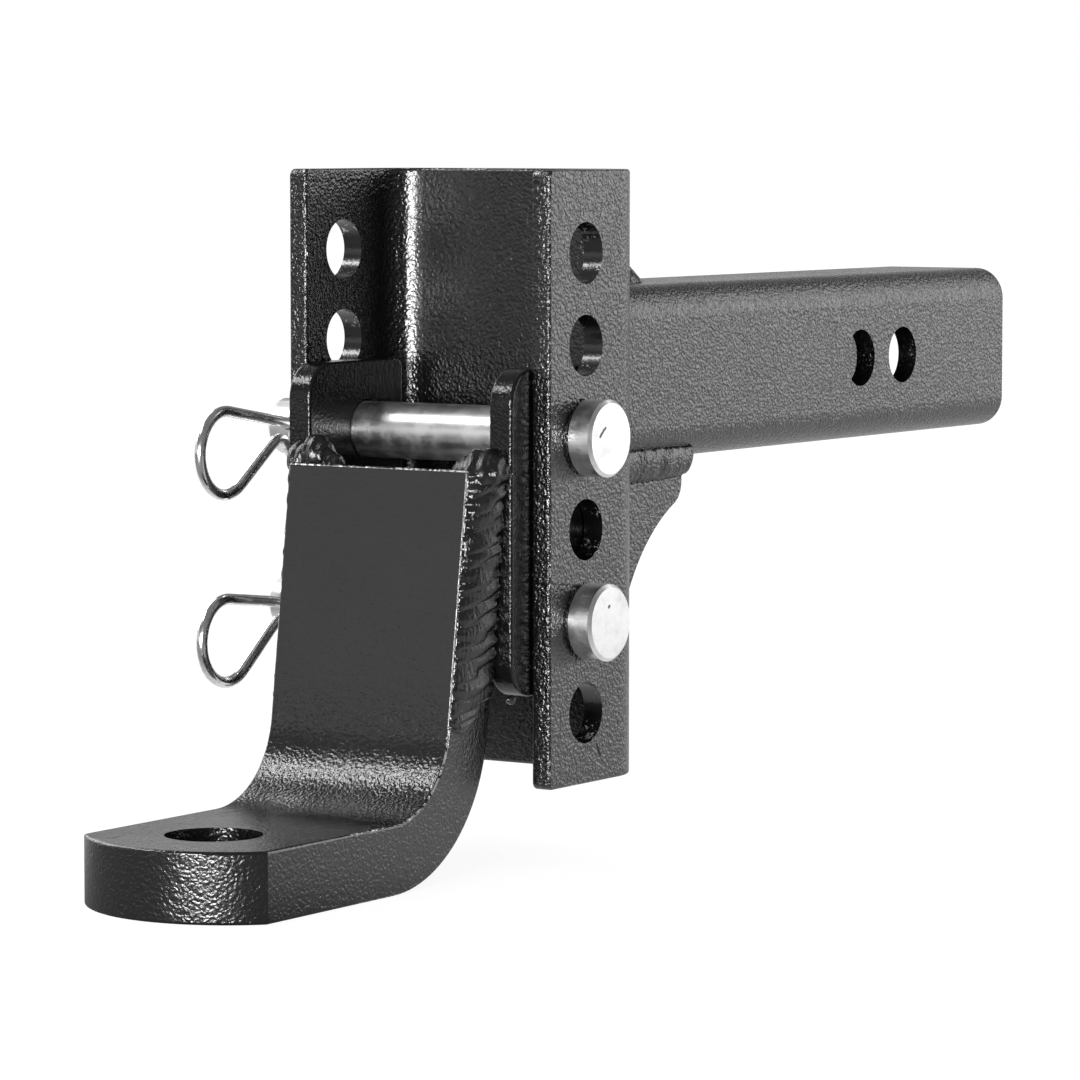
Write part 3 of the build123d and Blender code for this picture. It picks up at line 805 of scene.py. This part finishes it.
class BALLMOUNT_OT_plate_pins(bpy.types.Operator):
    """Give the two pull pins their bright zinc plate, with the marks on their heads"""

    bl_idname = "ballmount.plate_pins"
    bl_label = "Plate the Pins"

    def execute(self, context):
        scratch = {"From": (0.052, -0.2146, -0.0113), "To": (0.052, -0.2174, -0.0136),
                   "Width": 0.0009, "Waver": 0.0008}
        dot = {"From": (0.052, -0.2129, -0.0607), "To": (0.052, -0.2125, -0.0605), "Width": 0.0009}
        dress(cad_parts["upper_pin"], pin_material("zinc_plate_upper", [scratch]))
        dress(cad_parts["lower_pin"], pin_material("zinc_plate_lower", [dot]))
        return {"FINISHED"}


class BALLMOUNT_OT_brighten_clips(bpy.types.Operator):
    """Give the two hairpin clips their bright drawn wire"""

    bl_idname = "ballmount.brighten_clips"
    bl_label = "Brighten the Clips"

    def execute(self, context):
        material = wire_material("bright_spring_wire")
        for node in ("upper_clip", "lower_clip"):
            dress(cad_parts[node], material)
        return {"FINISHED"}


# Where each lamp stands, what it looks at, its width, height and power
MIDDLE = (0.0, -0.2, -0.03)
BEND = (0.0, -0.284, -0.10)
LAMPS = {
    "front_softbox": ((0.28, -1.64, 0.07), (0.0, -0.30, -0.08), 0.80, 0.40, 24.0),
    "right_back_softbox": ((0.86, 1.06, 0.50), MIDDLE, 1.5, 1.3, 11.0),
    "left_softbox": ((-1.31, -0.02, 0.67), MIDDLE, 1.3, 0.9, 12.0),
    "top_softbox": ((-0.49, -0.55, 0.55), BEND, 0.45, 0.08, 1.7),
}


class BALLMOUNT_OT_set_stage(bpy.types.Operator):
    """Set the floor, backdrop colour, lamps and camera"""

    bl_idname = "ballmount.set_stage"
    bl_label = "Set the Stage"

    def floor(self):
        """A flat square under the lowest point.

        It is white wherever the camera looks, and whiter far off. In gloss it is dark ahead of
        the ball mount and lighter behind it.
        """
        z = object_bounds()[0][2]
        size = 9.0
        corners = [(-size, -size, z), (size, -size, z), (size, size, z), (-size, size, z)]
        mesh = bpy.data.meshes.new("floor")
        mesh.from_pydata(corners, [], [(0, 1, 2, 3)])
        piece = bpy.data.objects.new("floor", mesh)
        bpy.context.scene.collection.objects.link(piece)
        material, tree, shader = new_material("pale_floor")
        shader.inputs["Base Color"].default_value = (0.2, 0.2, 0.2, 1.0)
        shader.inputs["Roughness"].default_value = 0.9
        shader.inputs["Specular IOR Level"].default_value = 0.0
        shader.inputs["Emission Color"].default_value = (1.0, 1.0, 1.0, 1.0)
        place = add(tree, "ShaderNodeTexCoord").outputs["Object"]
        far = step(tree, vectors(tree, "LENGTH", place, output="Value"), 0.4, 1.3, 0.90, 1.0)
        behind = step(tree, parts(tree, place)["Y"], -0.36, -0.20, 0.06, 0.62)
        path = add(tree, "ShaderNodeLightPath").outputs
        seen = sums(tree, "MAXIMUM", path["Is Camera Ray"], path["Is Transmission Ray"])
        glow = sums(tree, "ADD", sums(tree, "MULTIPLY", seen, far),
                    sums(tree, "MULTIPLY", path["Is Glossy Ray"], behind))
        tree.links.new(glow, shader.inputs["Emission Strength"])
        dress(piece, material)
        piece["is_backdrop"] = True

    def backdrop(self):
        """White for the camera and through glass.

        In gloss it is light low down, except on the right, and fades to a dim ceiling.
        """
        world = bpy.data.worlds.new("white_backdrop")
        bpy.context.scene.world = world
        world.use_nodes = True
        tree = world.node_tree
        shader = tree.nodes["Background"]
        shader.inputs["Color"].default_value = (1.0, 1.0, 1.0, 1.0)
        way = add(tree, "ShaderNodeTexCoord").outputs["Generated"]
        low = step(tree, parts(tree, way)["Z"], 0.12, 0.42, 1.0, 0.0)
        right = vectors(tree, "DOT_PRODUCT", way, (0.98, -0.17, 0.0), "Value")
        band = sums(tree, "MULTIPLY", low, step(tree, right, 0.35, 0.8, 1.0, 0.0))
        gloss = sums(tree, "ADD", 0.18, sums(tree, "MULTIPLY", band, 0.50))
        path = add(tree, "ShaderNodeLightPath").outputs
        seen = sums(tree, "MAXIMUM", path["Is Camera Ray"], path["Is Transmission Ray"])
        strength = sums(tree, "ADD", sums(tree, "MULTIPLY", path["Is Diffuse Ray"], 0.25),
                        sums(tree, "ADD", seen, sums(tree, "MULTIPLY", path["Is Glossy Ray"], gloss)))
        tree.links.new(strength, shader.inputs["Strength"])

    def lamp(self, name, place, aim, width, height, watts):
        """An area lamp turned towards a point."""
        light = bpy.data.lights.new(name, "AREA")
        light.shape = "RECTANGLE"
        light.size, light.size_y = width, height
        light.energy = watts
        holder = bpy.data.objects.new(name, light)
        bpy.context.scene.collection.objects.link(holder)
        way = np.array(aim, float) - np.array(place, float)
        tilt = math.acos(-way[2] / np.linalg.norm(way))
        holder.location = place
        holder.rotation_euler = (tilt, 0.0, math.atan2(way[0], -way[1]) + math.pi)

    def camera(self):
        """The camera, fitted to the photograph: a long lens that looks slightly down."""
        stage = settings("stage")
        lens = bpy.data.cameras.new("camera")
        lens.sensor_width = 36.0
        lens.lens = stage.lens
        lens.clip_end = 60.0
        holder = bpy.data.objects.new("camera", lens)
        bpy.context.scene.collection.objects.link(holder)
        holder.location = stage.place
        holder.rotation_euler = (stage.tilt, 0.0, stage.turn)
        bpy.context.scene.camera = holder

    def execute(self, context):
        context.scene.view_settings.view_transform = "Standard"
        self.floor()
        self.backdrop()
        for name, lamp in LAMPS.items():
            self.lamp(name, *lamp)
        self.camera()
        return {"FINISHED"}


class BALLMOUNT_PT_panel(bpy.types.Panel):
    """Lists the steps and the settings of the ball mount"""

    bl_idname = "BALLMOUNT_PT_panel"
    bl_label = "Ball Mount"
    bl_space_type = "VIEW_3D"
    bl_region_type = "UI"
    bl_category = "Ball Mount"

    def draw(self, context):
        for operator in OPERATORS:
            self.layout.operator(operator.bl_idname)
        for name, kind in SETTINGS.items():
            box = self.layout.box()
            for field in kind.__annotations__:
                box.prop(settings(name), field)


SETTINGS = {"coat": CoatSettings, "weld": WeldSettings, "plate": PlateSettings, "stage": StageSettings}
OPERATORS = (BALLMOUNT_OT_coat_steel, BALLMOUNT_OT_platform_welds, BALLMOUNT_OT_frame_welds,
             BALLMOUNT_OT_plate_pins, BALLMOUNT_OT_brighten_clips, BALLMOUNT_OT_set_stage)


def register():
    for kind in tuple(SETTINGS.values()) + OPERATORS + (BALLMOUNT_PT_panel,):
        bpy.utils.register_class(kind)
    for name, kind in SETTINGS.items():
        setattr(bpy.types.Scene, "ballmount_" + name, bpy.props.PointerProperty(type=kind))


def unregister():
    for name in SETTINGS:
        delattr(bpy.types.Scene, "ballmount_" + name)
    for kind in reversed(tuple(SETTINGS.values()) + OPERATORS + (BALLMOUNT_PT_panel,)):
        bpy.utils.unregister_class(kind)


def main():
    register()
    for operator in OPERATORS:
        group, name = operator.bl_idname.split(".")
        getattr(getattr(bpy.ops, group), name)()
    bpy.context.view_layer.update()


if __name__ == "__main__":
    main()
